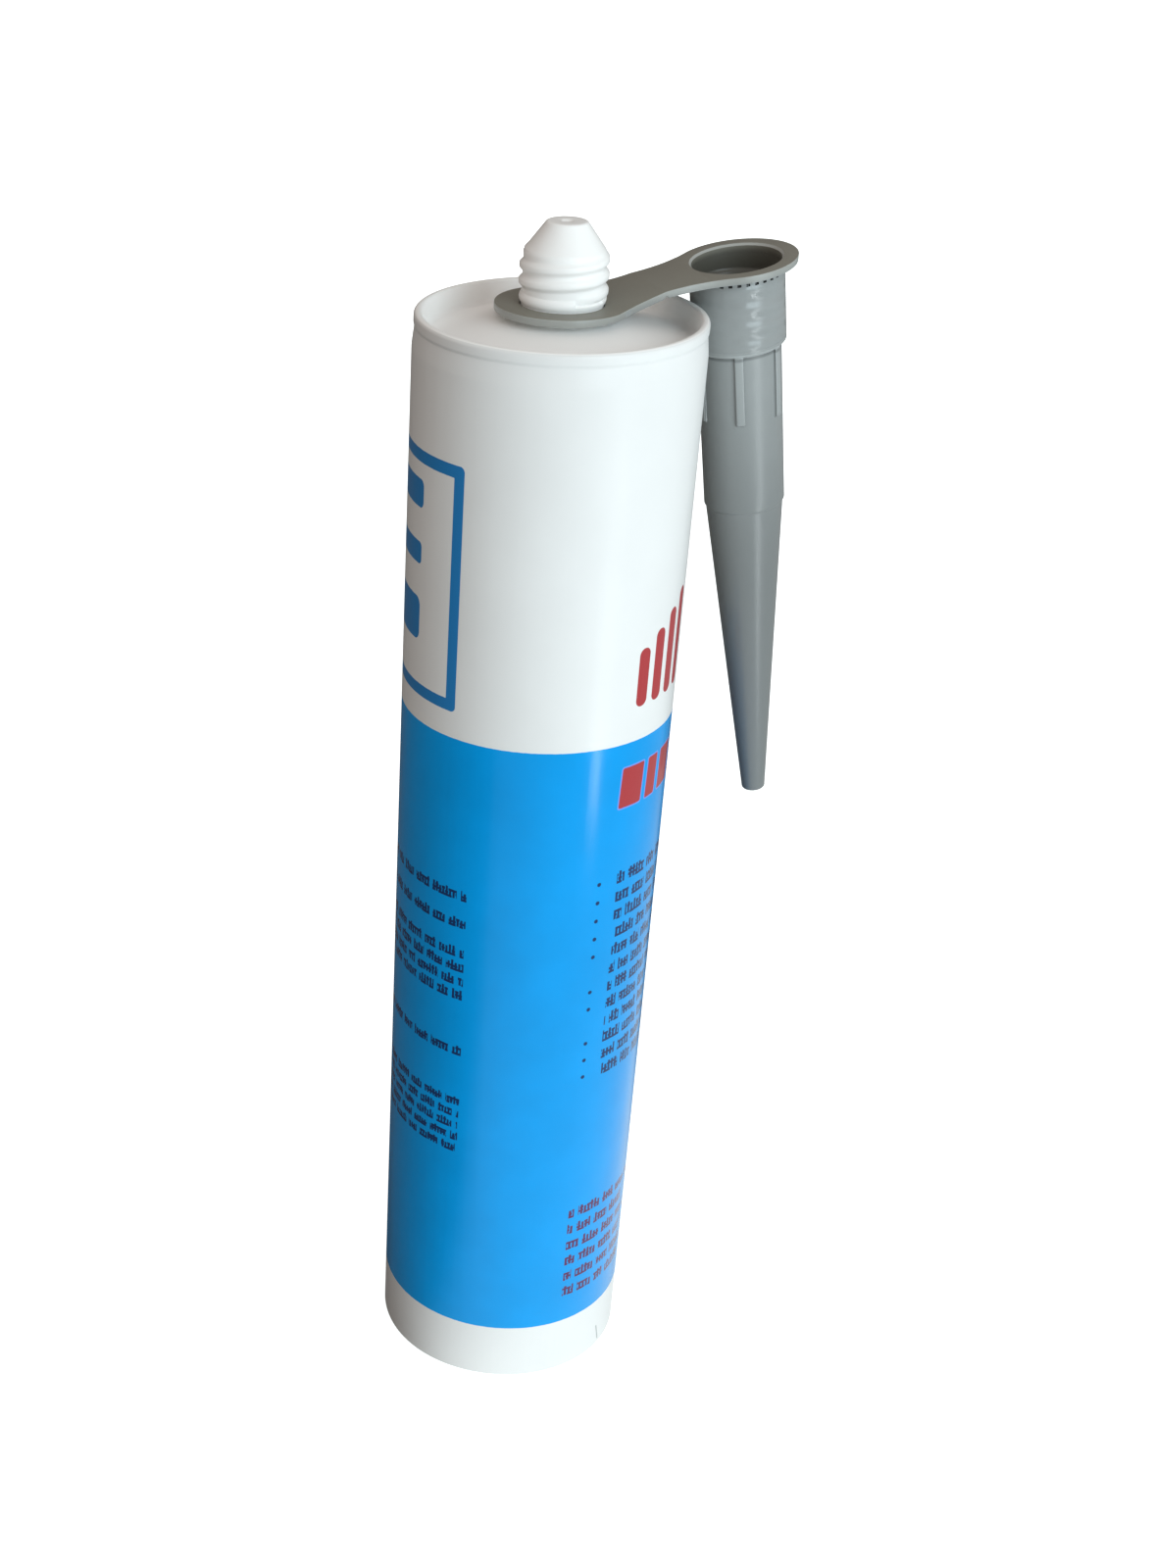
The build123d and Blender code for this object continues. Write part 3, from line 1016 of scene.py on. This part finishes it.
def cut_perforations(obj, size, collar):
    """Cut a ring of blind pits into the collar, just under the flange."""
    sides = (0.8 * MM, 0.66 * MM, 0.5 * MM)
    centre = (collar, 0, -size.thickness - 0.95 * MM)
    cuts = []
    for number in range(size.cut_count):
        cut = block(sides, centre)
        place(cut, Matrix.Rotation(tau * number / size.cut_count, 4, "Z"))
        cuts.append(cut)
    choose(*cuts)
    bpy.ops.object.join()
    combine(obj, cuts[0], "DIFFERENCE")


class CAULK_OT_nozzle(bpy.types.Operator):
    """Model the ring, strap, flange, collar, barrel and spout of the nozzle"""

    bl_idname = "caulk.nozzle"
    bl_label = "Nozzle and strap"

    def execute(self, context):
        size = context.scene.caulk_nozzle
        tube = context.scene.caulk_tube
        ring_top = tube.height - tube.head_depth + tube.seat_height + CLEARANCE + size.thickness
        crease = ring_top + size.crease_rise
        collar = size.socket_radius + size.collar_wall
        slope = tan(size.lean)
        mouth_x = mouth_reach(size, collar, crease, tube.height)
        mouth_z = crease + (mouth_x - size.crease_reach) * slope
        strap = bend_strap(size, mouth_x, ring_top, crease, slope)
        body = spin_body(size, collar)
        mouth = Vector((mouth_x, 0, mouth_z))
        lean = Matrix.Translation(mouth) @ Matrix.Rotation(-size.lean, 4, "Y")
        place(body, lean)
        combine(strap, body, "UNION")
        combine(strap, mouth_cutter(size, lean), "DIFFERENCE")
        outward(strap)
        strap.name = "nozzle_moulding"
        mark_matte_and_shade(strap, mouth, size)
        paint = nozzle_plastic(context.scene.caulk_print, mouth, size.lean)
        finish_piece(strap, "tethered_nozzle", paint)
        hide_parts("nozzle")
        return {"FINISHED"}


def light_world(context, look):
    """Warm light from all round, weaker at the left, and plain white for the camera."""
    world = bpy.data.worlds.new("studio")
    context.scene.world = world
    world.use_nodes = True
    sky = Nodes(world.node_tree)
    bright = heading(look.bright_azimuth)
    view = sky.node("ShaderNodeTexCoord", output="Generated")
    values = {0: view, 1: (cos(bright), sin(bright), 0)}
    toward = sky.node("ShaderNodeVectorMath", {"operation": "DOT_PRODUCT"}, values, "Value")
    reach = 0.8
    values = {"Value": toward, "From Min": -reach, "From Max": reach}
    values.update({"To Min": look.ambient_dark, "To Max": look.ambient})
    horizon = sky.node("ShaderNodeMapRange", values=values)
    height = sky.split(view)[2]
    upward = sky.node("ShaderNodeMapRange", values={"Value": height, "From Max": reach})
    strength = sky.blend_values(horizon, look.zenith, upward)
    lit = sky.node("ShaderNodeBackground", values={"Color": SKY_TINT, "Strength": strength})
    seen = sky.node("ShaderNodeBackground", values={"Color": (1, 1, 1, 1)})
    camera_ray = sky.node("ShaderNodeLightPath", output="Is Camera Ray")
    either = camera_ray.most(camera_ray.other("Is Transmission Ray"))
    mixed = sky.node("ShaderNodeMixShader", values={0: either, 1: lit, 2: seen})
    sky.node("ShaderNodeOutputWorld", values={"Surface": mixed})


def add_lamp(name, spot, sides, power, tint):
    """Rectangular area lamp."""
    deselect()
    bpy.ops.object.light_add(type="AREA", location=spot)
    lamp = bpy.context.object
    lamp.name = name
    lamp.data.shape = "RECTANGLE"
    lamp.data.size, lamp.data.size_y = sides
    lamp.data.energy = power
    lamp.data.color = tint
    return lamp


def aimed_lamp(name, azimuth, elevation, distance, sides, power, tint, target):
    """Lamp at an azimuth to the right of the camera and an elevation, aimed at the tube."""
    around, up = heading(azimuth), radians(elevation)
    spot = target + distance * Vector((cos(around) * cos(up), sin(around) * cos(up), sin(up)))
    lamp = add_lamp(name, spot, sides, power, tint)
    lamp.rotation_euler = (target - spot).to_track_quat("-Z", "Y").to_euler()


def floor_lamp(name, azimuth, near, far, width, power):
    """Lamp that lies on the floor, faces up and runs outward from the tube."""
    around, middle = heading(azimuth), (near + far) / 2
    spot = (middle * cos(around), middle * sin(around), 2 * MM)
    lamp = add_lamp(name, spot, (far - near, width), power, FLOOR_TINT)
    lamp.rotation_euler = (pi, 0, around)
    lamp.visible_camera = False


def set_camera(context):
    """Set the camera that the photograph's outlines fit, with its small lens shift."""
    turn = Matrix.Rotation(radians(-FACING), 4, "Z")
    yaw, pitch, roll = (radians(a) for a in (CAMERA_HEADING, CAMERA_PITCH, CAMERA_ROLL))
    forward = Vector((sin(yaw) * cos(pitch), cos(yaw) * cos(pitch), -sin(pitch)))
    right = Vector((cos(yaw), -sin(yaw), 0))
    up = right.cross(forward)
    across = right * cos(roll) + up * sin(roll)
    upward = up * cos(roll) - right * sin(roll)
    axes = Matrix((across, upward, -forward)).transposed().to_4x4()
    deselect()
    bpy.ops.object.camera_add(location=(0, 0, 0))
    camera = bpy.context.object
    spot = Matrix.Translation((0, -CAMERA_DISTANCE * MM, CAMERA_HEIGHT * MM))
    camera.matrix_world = turn @ spot @ axes
    camera.data.sensor_fit = "AUTO"
    camera.data.sensor_width = SENSOR
    camera.data.lens = FOCAL_PIXELS / PHOTO_HEIGHT * SENSOR
    camera.data.shift_x = (PHOTO_WIDTH / 2 - CENTRE_X_PIXELS) / PHOTO_HEIGHT
    camera.data.shift_y = (CENTRE_Y_PIXELS - PHOTO_HEIGHT / 2) / PHOTO_HEIGHT
    camera.data.clip_start, camera.data.clip_end = 0.01, 20
    context.scene.camera = camera
    context.scene.view_settings.view_transform = "Standard"


class CAULK_OT_stage(bpy.types.Operator):
    """Lay the floor, hang the lamps and set the camera"""

    bl_idname = "caulk.stage"
    bl_label = "Stage"

    def execute(self, context):
        look = context.scene.caulk_stage
        deselect()
        radius = look.floor_radius
        bpy.ops.mesh.primitive_circle_add(vertices=96, radius=radius, fill_type="NGON", location=(0, 0, 0))
        floor_disc = bpy.context.object
        floor_disc.name = "floor"
        floor_disc.data.materials.append(white_floor(look))
        light_world(context, look)
        middle = Vector((0.01, 0, 0.1))
        aimed_lamp("key", *KEY_PLACE, look.key_power, KEY_TINT, middle)
        aimed_lamp("fill", *FILL_PLACE, look.fill_power, FILL_TINT, middle)
        floor_lamp("streak", look.streak_azimuth, *STREAK_PLACE, look.streak_power)
        floor_lamp("pane_near", look.streak_azimuth, *PANE_NEAR_PLACE, look.pane_near_power)
        floor_lamp("pane_far", look.streak_azimuth - 1, *PANE_FAR_PLACE, look.pane_power)
        set_camera(context)
        return {"FINISHED"}


class CAULK_PT_panel(bpy.types.Panel):
    """Buttons that build the caulk tube"""

    bl_idname = "CAULK_PT_panel"
    bl_label = "Caulk tube"
    bl_space_type = "VIEW_3D"
    bl_region_type = "UI"
    bl_category = "Caulk tube"

    def draw(self, context):
        for operator in OPERATORS:
            self.layout.operator(operator.bl_idname)
        for name in GROUPS:
            group = getattr(context.scene, name)
            for key in group.__annotations__:
                self.layout.prop(group, key)


GROUPS = {
    "caulk_tube": TubeSizes,
    "caulk_nozzle": NozzleSizes,
    "caulk_print": PrintLook,
    "caulk_stage": StageLook,
}
OPERATORS = (CAULK_OT_tube, CAULK_OT_contents, CAULK_OT_nozzle, CAULK_OT_stage)


def register():
    for cls in (*GROUPS.values(), *OPERATORS, CAULK_PT_panel):
        bpy.utils.register_class(cls)
    for name, group in GROUPS.items():
        setattr(bpy.types.Scene, name, PointerProperty(type=group))


def unregister():
    for name in GROUPS:
        delattr(bpy.types.Scene, name)
    for cls in reversed((*GROUPS.values(), *OPERATORS, CAULK_PT_panel)):
        bpy.utils.unregister_class(cls)


def main():
    register()
    bpy.ops.caulk.tube()
    bpy.ops.caulk.contents()
    bpy.ops.caulk.nozzle()
    bpy.ops.caulk.stage()


if __name__ == "__main__":
    main()
